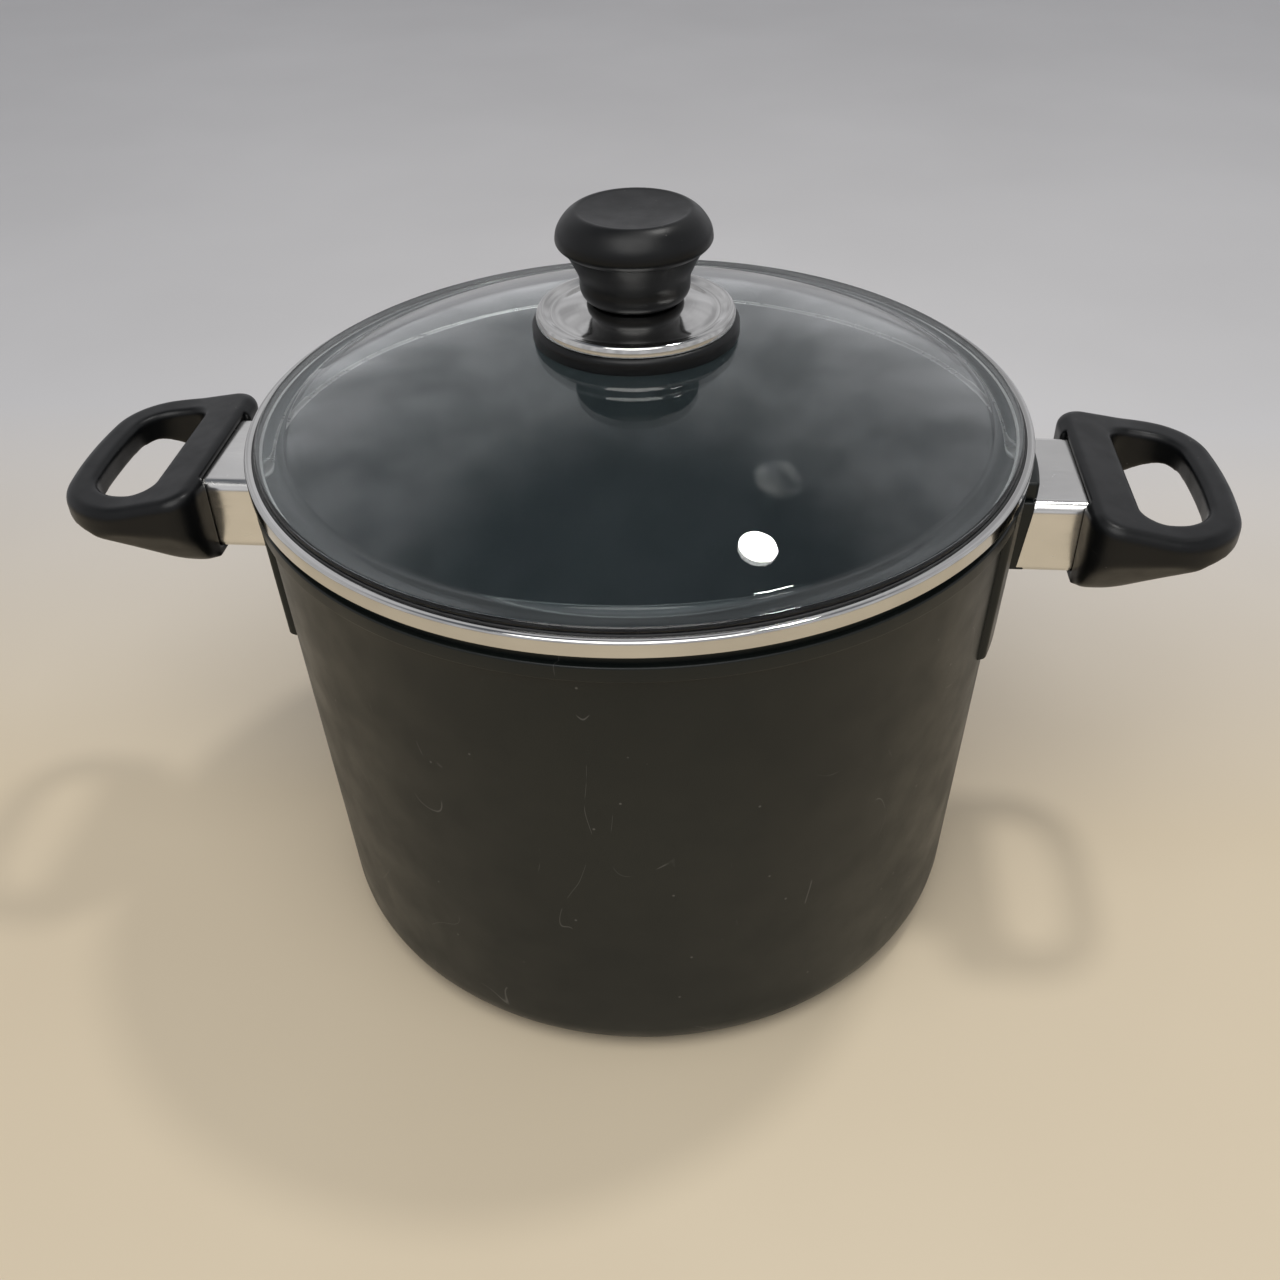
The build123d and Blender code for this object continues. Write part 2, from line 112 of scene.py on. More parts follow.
GLASS_RADIUS = high("lid_glass", 0)
GLASS_LOW = low("lid_glass")
GLASS_TOP = high("lid_glass")
GLASS_THICKNESS = 4.0
GLASS_LAND = 6.0            # the flat part along the edge
GLASS_EDGE = 1.2            # how far the rounded edge bulges
GLASS_HOLE = 5.0
CREST_BLEND = 4.0           # where the dome starts to turn into the flat, above
SWEEP_BLEND = 5.0           # and below
DOME_RADIUS = 268.0
LID_RADIUS = high("lid_rim", 1)
RIM_TOP = high("lid_rim")
SKIRT_LOW = low("lid_rim")
RIM_SHEET = 0.7
RIM_FLANGE = 2.7
RIM_LIP = 3.0
NOTCH_ANGLE = 25.5
NOTCH_EDGE = 0.02           # degrees each side of the skirt's cut
NOTCH_GAP = 0.05
NOTCH_FLAT = 0.0001         # what is left of the cut part's height
SEAL_BED = 0.6              # the seal's thickness under the glass
SEAL_GAP = 0.05
LIP_TOP = GLASS_LOW - SEAL_BED

RING_RADIUS = high("knob_ring", 0)
RING_TOP = 223.2
RING_HUB = 13.5
RING_WELL = 2.0
RING_WELL_RADIUS = 19.5
RING_SLOPE_RADIUS = 21.5
RING_SKIN = 0.6
DISC_RADIUS = high("knob_disc", 0)
DISC_TOP = high("knob_disc")
DISC_LOW = low("knob_disc")
DISC_SHEET = 0.9
DISC_LAND = 15.0            # the flat under the knob's foot
DISC_HOLE = 2.6
DISC_BEAD = DISC_RADIUS - 1.7
DISC_BEAD_TOP = DISC_TOP - 2.6
KNOB_FOOT = low("knob")
KNOB_TOP = high("knob")
KNOB_RADIUS = high("knob", 1)
KNOB_NECK = 17.6
KNOB_NECK_TOP = 21.9
KNOB_FOOT_ROUND = 5.0
KNOB_BORE = 4.55
KNOB_BORE_TOP = KNOB_FOOT + 11.05
KNOB_CREASE = KNOB_FOOT + 17.0
KNOB_DISH = 16.6            # radius of the shallow dish on top

ROUND_STEPS = 256


# ---- mesh building ----

def spots(*pairs):
    """(across, up) pairs as vectors."""
    return [Vector(pair) for pair in pairs]


def rounded(corners, steps=6):
    """A closed outline from (across, up, rounding) corners."""
    points = []
    for index, (across, up, radius) in enumerate(corners):
        here = Vector((across, up))
        if not radius:
            points.append(here)
            continue
        before = Vector(corners[index - 1][:2]) - here
        after = Vector(corners[(index + 1) % len(corners)][:2]) - here
        half = before.angle(after) / 2
        cut = min(radius / math.tan(half), 0.49 * min(before.length, after.length))
        inward = (before.normalized() + after.normalized()).normalized()
        centre = here + inward * cut / math.cos(half)
        start = here + before.normalized() * cut - centre
        end = here + after.normalized() * cut - centre
        sweep = start.angle_signed(end)
        for step in range(steps + 1):
            turned = Matrix.Rotation(-sweep * step / steps, 2) @ start
            points.append(centre + turned)
    return points


def smooth_line(points, steps=6):
    """Points along a Catmull-Rom curve through the given ones, both ends included."""
    ends = [2 * points[0] - points[1]] + points + [2 * points[-1] - points[-2]]
    line = []
    for a, b, c, d in zip(ends, ends[1:], ends[2:], ends[3:]):
        for step in range(steps):
            t = step / steps
            line.append(0.5 * (2 * b + (c - a) * t + (2 * a - 5 * b + 4 * c - d) * t ** 2
                               + (3 * b - a - 3 * c + d) * t ** 3))
    return line + [points[-1]]


def divided(points, longest):
    """The same open line with no step longer than that."""
    line = []
    for here, there in zip(points, points[1:]):
        count = max(1, math.ceil((there - here).length / longest))
        line += [here.lerp(there, step / count) for step in range(count)]
    return line + [points[-1]]


def skin(name, loops, closed=True, sharp=35):
    """A mesh over rings of points in millimetres. A ring of one point is a pole."""
    mesh_data = bmesh.new()
    rows = [[mesh_data.verts.new(Vector(point) * MM) for point in loop] for loop in loops]
    pairs = list(zip(rows, rows[1:]))
    if closed:
        pairs.append((rows[-1], rows[0]))
    width = max(len(row) for row in rows)
    for this, other in pairs:
        for column in range(width):
            after = (column + 1) % width
            corners = [this[column % len(this)], this[after % len(this)],
                       other[after % len(other)], other[column % len(other)]]
            corners = list(dict.fromkeys(corners))
            if len(corners) > 2:
                mesh_data.faces.new(corners)
    return finish_mesh(name, mesh_data, sharp)


def finish_mesh(name, mesh_data, sharp=35):
    bmesh.ops.recalc_face_normals(mesh_data, faces=mesh_data.faces)
    mesh = bpy.data.meshes.new(name)
    mesh_data.to_mesh(mesh)
    mesh_data.free()
    mesh.shade_smooth()
    mesh.set_sharp_from_angle(angle=math.radians(sharp))
    piece = bpy.data.objects.new(name, mesh)
    bpy.context.collection.objects.link(piece)
    return piece


def even_angles(extra=()):
    """Degrees round the circle, evenly, with extra ones put in."""
    angles = {round(360 * step / ROUND_STEPS, 4) for step in range(ROUND_STEPS)}
    angles.update(round(angle % 360, 4) for angle in extra)
    return sorted(angles)


def turn(name, outline, angles=None, shape=None, sharp=35):
    """An outline of (radius, height) points turned about Z. shape may move a point at an angle."""
    angles = angles or even_angles()
    loops = []
    for radius, height in outline:
        if radius < 0.001:
            loops.append([(0, 0, height)])
            continue
        loop = []
        for degrees in angles:
            r, z = shape(degrees, radius, height) if shape else (radius, height)
            angle = math.radians(degrees)
            loop.append((r * math.cos(angle), r * math.sin(angle), z))
        loops.append(loop)
    on_axis = outline[0][0] < 0.001 and outline[-1][0] < 0.001
    return skin(name, loops, closed=not on_axis, sharp=sharp)


def slab(name, plan, bottom, top, bevel):
    """An upright block over a plan of (x, y) points, with its edges rounded."""
    mesh_data = bmesh.new()
    corners = [mesh_data.verts.new((x * MM, y * MM, bottom * MM)) for x, y in plan]
    lower = mesh_data.faces.new(corners)
    grown = bmesh.ops.extrude_face_region(mesh_data, geom=[lower])["geom"]
    raised = [item for item in grown if isinstance(item, bmesh.types.BMVert)]
    bmesh.ops.translate(mesh_data, verts=raised, vec=Vector((0, 0, (top - bottom) * MM)))
    bmesh.ops.recalc_face_normals(mesh_data, faces=mesh_data.faces)
    edges = [edge for edge in mesh_data.edges if edge.calc_face_angle(0) > math.radians(40)]
    bmesh.ops.bevel(mesh_data, geom=edges, offset=bevel * MM, segments=4, profile=0.5,
                    affect="EDGES", clamp_overlap=True)
    return finish_mesh(name, mesh_data)


# ---- materials ----

class Finish:
    """A Principled material with procedural layers over the object's own coordinates."""

    def __init__(self, name, **sockets):
        self.material = bpy.data.materials.new(name)
        self.material.use_nodes = True
        self.tree = self.material.node_tree
        self.shader = self.tree.nodes["Principled BSDF"]
        self.place = self.tree.nodes.new("ShaderNodeTexCoord").outputs["Object"]
        for socket, value in sockets.items():
            self.feed(self.shader, socket.replace("_", " "), value)

    def feed(self, node, socket, value):
        if isinstance(value, bpy.types.NodeSocket):
            self.tree.links.new(value, node.inputs[socket])
        elif isinstance(value, tuple) and len(value) == 3 and node.inputs[socket].type == "RGBA":
            node.inputs[socket].default_value = (*value, 1)
        else:
            node.inputs[socket].default_value = value

    def set(self, socket, value):
        self.feed(self.shader, socket, value)

    def math(self, operation, a, b=0.0):
        node = self.tree.nodes.new("ShaderNodeMath")
        node.operation = operation
        self.feed(node, 0, a)
        self.feed(node, 1, b)
        return node.outputs[0]

    def stretched(self, stretch):
        node = self.tree.nodes.new("ShaderNodeMapping")
        self.feed(node, "Vector", self.place)
        node.inputs["Scale"].default_value = stretch
        return node.outputs[0]

    def turned_lines(self, pitch):
        """Coordinates that only change across the marks a lathe leaves."""
        split = self.tree.nodes.new("ShaderNodeSeparateXYZ")
        self.feed(split, 0, self.place)
        squares = [self.math("POWER", split.outputs[axis], 2.0) for axis in range(2)]
        square = self.math("ADD", *squares)
        joined = self.tree.nodes.new("ShaderNodeCombineXYZ")
        self.feed(joined, 0, self.math("MULTIPLY", self.math("SQRT", square), pitch))
        self.feed(joined, 2, self.math("MULTIPLY", split.outputs[2], pitch))
        return joined.outputs[0]

    def noise(self, scale, detail=3.0, vector=None, roughness=0.5, distortion=0.0):
        node = self.tree.nodes.new("ShaderNodeTexNoise")
        self.feed(node, "Vector", vector or self.place)
        self.feed(node, "Scale", scale)
        self.feed(node, "Detail", detail)
        self.feed(node, "Roughness", roughness)
        self.feed(node, "Distortion", distortion)
        return node.outputs["Fac"]

    def spread(self, value, start, end, low_value=0.0, high_value=1.0):
        node = self.tree.nodes.new("ShaderNodeMapRange")
        for socket, amount in zip(range(5), (value, start, end, low_value, high_value)):
            self.feed(node, socket, amount)
        return node.outputs[0]

    def uneven(self, scale, detail, low_value=0.0, high_value=1.0):
        """A noise that wanders between two values."""
        return self.spread(self.noise(scale, detail), 0.3, 0.7, low_value, high_value)

    def cloudy(self, scale, first, second):
        """Two colours in soft patches."""
        return self.mixed(self.spread(self.noise(scale, 4.0), 0.35, 0.7), first, second)

    def mixed(self, factor, first, second):
        node = self.tree.nodes.new("ShaderNodeMix")
        node.data_type = "RGBA"
        self.feed(node, 0, factor)
        self.feed(node, 6, first)
        self.feed(node, 7, second)
        return node.outputs[2]

    def bump(self, height, depth, strength=1.0, under=None):
        node = self.tree.nodes.new("ShaderNodeBump")
        self.feed(node, "Strength", strength)
        self.feed(node, "Distance", depth)
        self.feed(node, "Height", height)
        if under:
            self.feed(node, "Normal", under)
        return node.outputs[0]

    def scratches(self, scale, width, amount, stretch=(1.0, 1.0, 1.0)):
        """Thin broken lines: contours of a slow noise, kept only in patches."""
        lines = self.noise(scale, 1.0, self.stretched(stretch), distortion=0.6)
        near = self.math("ABSOLUTE", self.math("SUBTRACT", lines, 0.5))
        thin = self.spread(near, 0.0, width, 1.0, 0.0)
        patches = self.spread(self.noise(scale * 1.7, 2.0), amount, amount + 0.03)
        return self.math("MULTIPLY", thin, patches)

    def specks(self, scale, size):
        node = self.tree.nodes.new("ShaderNodeTexVoronoi")
        self.feed(node, "Vector", self.place)
        self.feed(node, "Scale", scale)
        return self.spread(node.outputs["Distance"], size * 0.5, size, 1.0, 0.0)


def coating():
    """Matt black outside coating with faint rub marks."""
    finish = Finish("coated_outside", Specular_IOR_Level=0.33)
    ground = finish.cloudy(14.0, (0.0046, 0.0070, 0.0066), (0.0076, 0.0100, 0.0090))
    marks = finish.math("MAXIMUM", finish.scratches(30.0, 0.0020, 0.585, (1.0, 1.0, 0.5)),
                        finish.specks(95.0, 0.05))
    finish.set("Base Color", finish.mixed(marks, ground, (0.085, 0.085, 0.08)))
    finish.set("Roughness", finish.uneven(60.0, 5.0, 0.34, 0.47))
    grain = finish.bump(finish.noise(2600.0, 2.0), 0.00006, 0.5)
    finish.set("Normal", finish.bump(finish.noise(90.0, 2.0), 0.00012, 0.25, grain))
    return finish.material


def lining():
    """Grey non-stick inside."""
    finish = Finish("coated_inside")
    ground = finish.cloudy(18.0, (0.034, 0.044, 0.049), (0.046, 0.058, 0.063))
    finish.set("Base Color", finish.mixed(finish.specks(420.0, 0.10), ground, (0.11, 0.12, 0.125)))
    finish.set("Roughness", finish.uneven(70.0, 4.0, 0.33, 0.45))
    finish.set("Normal", finish.bump(finish.noise(1800.0, 2.0), 0.00005, 0.5))
    return finish.material


def clear_glass():
    """Clear glass with faint smudges, which lets light through to what is under it."""
    finish = Finish("clear_glass", IOR=1.47, Transmission_Weight=1.0)
    smudge = finish.spread(finish.noise(16.0, 5.0, roughness=0.62), 0.52, 0.72)
    finish.set("Base Color", finish.mixed(smudge, (0.930, 0.958, 0.955), (0.90, 0.925, 0.925)))
    finish.set("Roughness", finish.math("MULTIPLY", smudge, 0.035))
    finish.set("Normal", finish.bump(finish.noise(22.0, 1.0), 0.0004, 0.25))
    tree = finish.tree
    path = tree.nodes.new("ShaderNodeLightPath")
    clear = tree.nodes.new("ShaderNodeBsdfTransparent")
    clear.inputs["Color"].default_value = (0.88, 0.91, 0.91, 1)
    mix = tree.nodes.new("ShaderNodeMixShader")
    tree.links.new(path.outputs["Is Shadow Ray"], mix.inputs[0])
    tree.links.new(finish.shader.outputs[0], mix.inputs[1])
    tree.links.new(clear.outputs[0], mix.inputs[2])
    tree.links.new(mix.outputs[0], tree.nodes["Material Output"].inputs["Surface"])
    return finish.material


def steel(name, colour, rough, turned, marks):
    """Stainless steel: turned lines or straight brushing, and faint wear."""
    finish = Finish(name, Metallic=1.0)
    vector = finish.turned_lines(1.0) if turned else finish.stretched((0.05, 1.0, 1.0))
    lines = finish.noise(1600.0, 2.0, vector)
    dark = tuple(value * 0.84 for value in colour)
    finish.set("Base Color", finish.mixed(finish.uneven(30.0, 3.0), dark, colour))
    wear = finish.math("MULTIPLY", finish.scratches(70.0, 0.008, 0.55), marks)
    base = finish.spread(lines, 0.3, 0.7, rough * 0.75, rough * 1.25)
    finish.set("Roughness", finish.math("ADD", base, wear))
    finish.set("Normal", finish.bump(lines, 0.00002, 0.35))
    return finish.material


def phenolic():
    """Satin black moulded phenolic."""
    finish = Finish("black_phenolic", Specular_IOR_Level=0.29)
    ground = finish.cloudy(40.0, (0.0020, 0.0024, 0.0028), (0.0036, 0.0040, 0.0046))
    marks = finish.math("MAXIMUM", finish.scratches(60.0, 0.003, 0.64), finish.specks(170.0, 0.05))
    finish.set("Base Color", finish.mixed(marks, ground, (0.06, 0.058, 0.055)))
    finish.set("Roughness", finish.uneven(120.0, 4.0, 0.30, 0.42))
    grain = finish.bump(finish.noise(2200.0, 2.0), 0.00004, 0.5)
    finish.set("Normal", finish.bump(finish.noise(140.0, 2.0), 0.0001, 0.2, grain))
    return finish.material


def plain(name, dark, light, rough, metal=0.0, scale=300.0):
    """A simple finish for small parts: mottled colour, uneven gloss and fine grain."""
    finish = Finish(name, Metallic=metal)
    finish.set("Base Color", finish.mixed(finish.uneven(scale, 4.0), dark, light))
    finish.set("Roughness", finish.uneven(scale * 2, 3.0, rough * 0.8, rough * 1.2))
    finish.set("Normal", finish.bump(finish.noise(scale * 6, 2.0), 0.00003, 0.4))
    return finish.material


def dress(piece, *materials):
    piece.data.materials.clear()
    for material in materials:
        piece.data.materials.append(material)


def place(piece, body, slot, *nodes):
    """The piece rides a body and stands for CAD nodes, which it hides. The slot is not used."""
    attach(piece, body)
    if nodes:
        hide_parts(*nodes)


# ---- the pot ----

def wall_radius(height, offset=0.0):
    return BASE_RADIUS + (MOUTH_RADIUS - BASE_RADIUS) * height / POT_HEIGHT + offset


def soft_edge(distance):
    """From 0 at an edge to 1 a rounding inside it."""
    part = min(max(distance / PAD_ROUND, 0.0), 1.0)
    return math.sqrt(1 - (1 - part) ** 2)


def pad_shape(degrees, radius, height):
    """Pushes the outside of the wall out where the handle pads are."""
    if radius < wall_radius(height, -WALL / 2) or not PAD_LOW <= height <= BEAD_TOP + 0.01:
        return radius, height
    off_axis = abs((degrees + 90) % 180 - 90)
    across = soft_edge(math.radians(PAD_ANGLE - off_axis) * radius)
    up = soft_edge(height - PAD_LOW)
    return max(radius, wall_radius(height, PAD_PROUD * across * up)), height


def pot_outline():
    """Half of the pot's section, from the middle of its underside round to the inside floor."""
    bead = wall_radius(BEAD_TOP, BEAD_PROUD)
    ledge = POT_HEIGHT - REBATE_DEPTH
    corners = [(0, DISH_DEPTH, 0)]
    for index in range(GROOVES):
        middle = BASE_DISH * (index + 1) / (GROOVES + 1)
        inner, outer = middle - GROOVE_WIDTH / 2, middle + GROOVE_WIDTH / 2
        deep = DISH_DEPTH + GROOVE_DEPTH
        corners += [(inner, DISH_DEPTH, 0.15), (inner, deep, 0.15)]
        corners += [(outer, deep, 0.15), (outer, DISH_DEPTH, 0.15)]
    corners += [(BASE_DISH, DISH_DEPTH, 0.2), (BASE_DISH, 0, 0.3), (BASE_RADIUS, 0, BASE_ROUND)]
    corners += [(wall_radius(PAD_LOW + rise), PAD_LOW + rise, 0) for rise in PAD_ROWS]
    corners += [
        (wall_radius(BEAD_LOW), BEAD_LOW, 1.0),
        (bead, BEAD_LOW + BEAD_PROUD / 2, 0.6), (bead, BEAD_TOP, 0.7),
        (wall_radius(BEAD_TOP), BEAD_TOP + 0.05, 0), (MOUTH_RADIUS, POT_HEIGHT, 0.6),
        (MOUTH_RADIUS - WALL + REBATE_WIDTH, POT_HEIGHT, 0.5),
        (wall_radius(ledge, REBATE_WIDTH - WALL), ledge, 0.3), (wall_radius(ledge, -WALL), ledge, 0.5),
        (BASE_RADIUS - WALL, FLOOR, INNER_ROUND), (0, FLOOR, 0)]
    return rounded(corners, 8)


def make_pot(outside, inside, worn):
    """The shell, coated outside and in, with bare metal on the mouth and on the step inside it."""
    edges = []
    for centre in (0, 180):
        for side in (-1, 1):
            edges += [centre + side * (PAD_ANGLE - step) for step in PAD_COLUMNS]
    *outline, floor_middle = pot_outline()
    outline = divided(outline, LONGEST_STEP) + [floor_middle]
    pot = turn("pot_shell", outline, even_angles(edges), pad_shape, 30)
    dress(pot, outside, inside, worn)
    mouth = (MOUTH_RADIUS - WALL + REBATE_WIDTH + 0.4) * MM
    for face in pot.data.polygons:
        centre = face.center
        height = centre.z / MM
        middle = min(mouth, wall_radius(height, -WALL / 2) * MM)
        if math.hypot(centre.x, centre.y) < middle and height > FLOOR * 0.8:
            near_ledge = abs(height - (POT_HEIGHT - REBATE_DEPTH)) < LEDGE_WEAR
            near_mouth = height > POT_HEIGHT - MOUTH_WEAR
            face.material_index = 2 if near_ledge or near_mouth else 1
    place(pot, "pot", "coated_cast", "pot_body")


def make_seats(side, name, outside):
    """The flat seat behind a ferrule and the lip over it."""
    core = wall_radius(FERRULE_LOW, -WALL / 2)
    half = FERRULE_HALF - SEAT_INSET
    seat_plan = [(core, -half), (FERRULE_IN, -half), (FERRULE_IN, half), (core, half)]
    reach = math.degrees(math.asin(CAP_HALF / CAP_RADIUS))
    cap_plan = [(core, -CAP_HALF)]
    for step in range(2 * CAP_STEPS + 1):
        angle = math.radians(reach * (step / CAP_STEPS - 1))
        cap_plan.append((CAP_RADIUS * math.cos(angle), CAP_RADIUS * math.sin(angle)))
    cap_plan.append((core, CAP_HALF))
    cap_low = FERRULE_TOP + CAP_GAP
    for label, plan, bottom, top, bevel in (
            ("seat", seat_plan, FERRULE_LOW + 3 * SEAT_INSET, cap_low, SEAT_BEVEL),
            ("lip", cap_plan, cap_low, cap_low + CAP_HEIGHT, CAP_BEVEL)):
        plan = [(side * x, y) for x, y in plan]
        piece = slab(f"{name}_{label}", plan, bottom, top, bevel)
        dress(piece, outside)
        place(piece, "pot", "coated_cast")


def make_ferrule(side, name, finish):
    """A drawn tube of sheet steel with softened ends."""
    middle = (FERRULE_LOW + FERRULE_TOP) / 2
    length = FERRULE_OUT - FERRULE_IN
    outer = FERRULE_ENDS + [(length - along, grow) for along, grow in reversed(FERRULE_ENDS)]
    path = outer + [(along, -FERRULE_WALL - grow) for along, grow in reversed(outer)]
    loops = []
    for along, grow in path:
        wide = FERRULE_HALF + grow
        tall = (FERRULE_TOP - FERRULE_LOW) / 2 + grow
        corners = [(wide, tall), (-wide, tall), (-wide, -tall), (wide, -tall)]
        slant = FERRULE_SLANT / (FERRULE_TOP - FERRULE_LOW) * max(0.0, 1 - along / length)
        loop = []
        for y, z in rounded([(*corner, FERRULE_ROUND + grow) for corner in corners], 8):
            x = FERRULE_IN + along - slant * (FERRULE_TOP - middle - z)
            loop.append((side * x, y, middle + z))
        loops.append(loop)
    piece = skin(f"{name}_ferrule_tube", loops)
    dress(piece, finish)
    place(piece, "pot", "brushed_steel", f"{name}_ferrule")


def softness(point):
    """How strongly a point of a grip is smoothed."""
    x, y, z = (abs(value) / MM for value in point)
    deep = min(max((SOFT_TOP - z) / (SOFT_TOP - SOFT_LOW), 0.0), 1.0)
    if x > FERRULE_OUT + CRISP_OUT:
        return deep
    return deep * min(max((y - FERRULE_HALF - CRISP_SIDE) / CRISP_FADE, 0.0), 1.0)


def settle(piece):
    """Applies the piece's modifiers."""
    depsgraph = bpy.context.evaluated_depsgraph_get()
    mesh = bpy.data.meshes.new_from_object(piece.evaluated_get(depsgraph))
    piece.modifiers.clear()
    piece.data = mesh


def make_grip(name, finish):
    """The CAD grip remeshed evenly, with its lower edges smoothed into a moulded round."""
    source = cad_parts[f"{name}_grip"]
    mesh_data = bmesh.new()
    mesh_data.from_mesh(source.data)
    mesh_data.transform(source.matrix_world)
    bmesh.ops.remove_doubles(mesh_data, verts=mesh_data.verts, dist=WELD * MM)
    piece = finish_mesh(f"{name}_grip_moulded", mesh_data)
    remesh = piece.modifiers.new("even", "REMESH")
    remesh.mode = "VOXEL"
    remesh.voxel_size = VOXEL * MM
    settle(piece)
    group = piece.vertex_groups.new(name="soft")
    for vertex in piece.data.vertices:
        weight = softness(vertex.co)
        if weight:
            group.add([vertex.index], weight, "REPLACE")
    for label, passes, only in (("round", ROUND_PASSES, "soft"), ("even", EVEN_PASSES, "")):
        smooth = piece.modifiers.new(label, "SMOOTH")
        smooth.factor = 0.5
        smooth.iterations = passes
        smooth.vertex_group = only
    settle(piece)
    piece.vertex_groups.clear()
    piece.data.shade_smooth()
    piece.data.set_sharp_from_angle(angle=math.radians(50))
    dress(piece, finish)
    place(piece, "pot", "phenolic", f"{name}_grip")


# ---- the lid ----

def dome_height(radius, sink=0.0):
    """Height of the dome's outside at a radius, or of a surface sunk under it."""
    centre = GLASS_TOP + GLASS_HOLE ** 2 / (2 * DOME_RADIUS) - DOME_RADIUS
    return centre + math.sqrt((DOME_RADIUS - sink) ** 2 - radius ** 2)


def arc_points(start, end, sink, count=24):
    radii = [start + (end - start) * step / count for step in range(count + 1)]
    return [Vector((radius, dome_height(radius, sink))) for radius in radii]


def blend_curve(start, start_way, end, end_way, steps=12):
    """A Hermite curve between two points."""
    span = (end - start).length
    a, b = start_way.normalized() * span, end_way.normalized() * span
    line = []
    for step in range(1, steps):
        t = step / steps
        line.append((2 * t ** 3 - 3 * t ** 2 + 1) * start + (t ** 3 - 2 * t ** 2 + t) * a
                    + (3 * t ** 2 - 2 * t ** 3) * end + (t ** 3 - t ** 2) * b)
    return line


def make_glass(finish):
    """The dome, its flat edge and the hole for the knob's screw."""
    inner = GLASS_RADIUS - GLASS_LAND
    edge_top = GLASS_LOW + GLASS_THICKNESS
    upper = arc_points(GLASS_HOLE, inner - CREST_BLEND, 0)
    lower = arc_points(inner - SWEEP_BLEND, GLASS_HOLE, GLASS_THICKNESS)
    land_top = Vector((inner + 1, edge_top))
    land_low = Vector((inner, GLASS_LOW))
    crest = blend_curve(upper[-1], upper[-1] - upper[-2], land_top, Vector((1, 0)))
    middle = (GLASS_LOW + edge_top) / 2
    half = GLASS_THICKNESS / 2
    bulge = []
    for step in range(13):
        angle = math.radians(90 - 15 * step)
        across = GLASS_RADIUS - GLASS_EDGE + GLASS_EDGE * math.cos(angle)
        bulge.append(Vector((across, middle + half * math.sin(angle))))
    sweep = blend_curve(land_low, Vector((-1, 0)), lower[0], lower[1] - lower[0])
    outline = upper + crest + [land_top] + bulge + [land_low] + sweep + lower
    piece = turn("lid_glass_dome", outline, sharp=45)
    dress(piece, finish)
    place(piece, "lid", "lid_glass", "lid_glass")


def rim_shape(degrees, radius, height):
    """Cuts the skirt short over the handles."""
    off_axis = abs((degrees + 90) % 180 - 90)
    lip_low = LIP_TOP - RIM_SHEET
    if off_axis < NOTCH_ANGLE and height < lip_low - NOTCH_GAP:
        return radius, lip_low - NOTCH_GAP - NOTCH_FLAT * (lip_low - height)
    return radius, height


def make_rim(finish):
    """The rolled steel band: flange over the glass, lip under it and skirt outside the pot."""
    inner = LID_RADIUS - RIM_FLANGE
    wall_in = LID_RADIUS - RIM_SHEET
    lip_in = GLASS_RADIUS - RIM_LIP
    outline = rounded([
        (LID_RADIUS, SKIRT_LOW, 0.25), (LID_RADIUS, RIM_TOP, 1.1), (inner, RIM_TOP, 0.3),
        (inner, RIM_TOP - RIM_SHEET, 0.25), (wall_in, RIM_TOP - RIM_SHEET, 0.5),
        (wall_in, LIP_TOP, 0.2), (lip_in, LIP_TOP, 0.2), (lip_in, LIP_TOP - RIM_SHEET, 0.2),
        (wall_in, LIP_TOP - RIM_SHEET, 0.1), (wall_in, SKIRT_LOW, 0.25)], 6)
    cuts = []
    for centre in (0, 180):
        for side in (-1, 1):
            cuts += [centre + side * (NOTCH_ANGLE + step) for step in (-NOTCH_EDGE, NOTCH_EDGE)]
    piece = turn("lid_rim_band", outline, even_angles(cuts), rim_shape, 40)
    dress(piece, finish)
    place(piece, "lid", "polished_steel", "lid_rim")


def make_seal(finish):
    """The thin black strip that shows between the glass and the rim."""
    outer = LID_RADIUS - RIM_SHEET - SEAL_GAP
    flange = LID_RADIUS - RIM_FLANGE - SEAL_GAP
    crest = high("lid_rim_seal")
    inner = GLASS_RADIUS + SEAL_GAP
    bed = GLASS_RADIUS - RIM_LIP + 1
    bed_low = LIP_TOP + SEAL_GAP
    bed_top = GLASS_LOW - SEAL_GAP
    under_flange = RIM_TOP - RIM_SHEET - SEAL_GAP
    outline = rounded([
        (bed, bed_low, 0.1), (outer, bed_low, 0.1), (outer, under_flange, 0.1),
        (flange, under_flange, 0.1), (flange, crest, 0.12), (inner, crest, 0.12),
        (inner, bed_top, 0.1), (bed, bed_top, 0.1)], 4)
    piece = turn("lid_rim_strip", outline, sharp=40)
    dress(piece, finish)
    place(piece, "lid", "seal_rubber", "lid_rim_seal")


def make_ring(finish):
    """The black ring on the glass, with a well round the hub that carries the disc."""
    hub_top = high("knob_ring")
    well = RING_TOP - RING_WELL
    foot = dome_height(RING_RADIUS) + 0.35
    under = arc_points(RING_RADIUS - RING_SKIN, GLASS_HOLE, -0.1, 12)
    top = rounded([
        (GLASS_HOLE, hub_top, 0.1), (RING_HUB, hub_top, 0.3), (RING_HUB, well, 0.6),
        (RING_WELL_RADIUS, well, 0.6), (RING_SLOPE_RADIUS, RING_TOP, 0.6),
        (RING_RADIUS, RING_TOP, 1.9), (RING_RADIUS, foot, 0.3), (GLASS_HOLE, foot, 0)], 6)[:-1]
    piece = turn("knob_base_ring", top + under, sharp=40)
    dress(piece, finish)
    place(piece, "lid", "phenolic", "knob_ring")


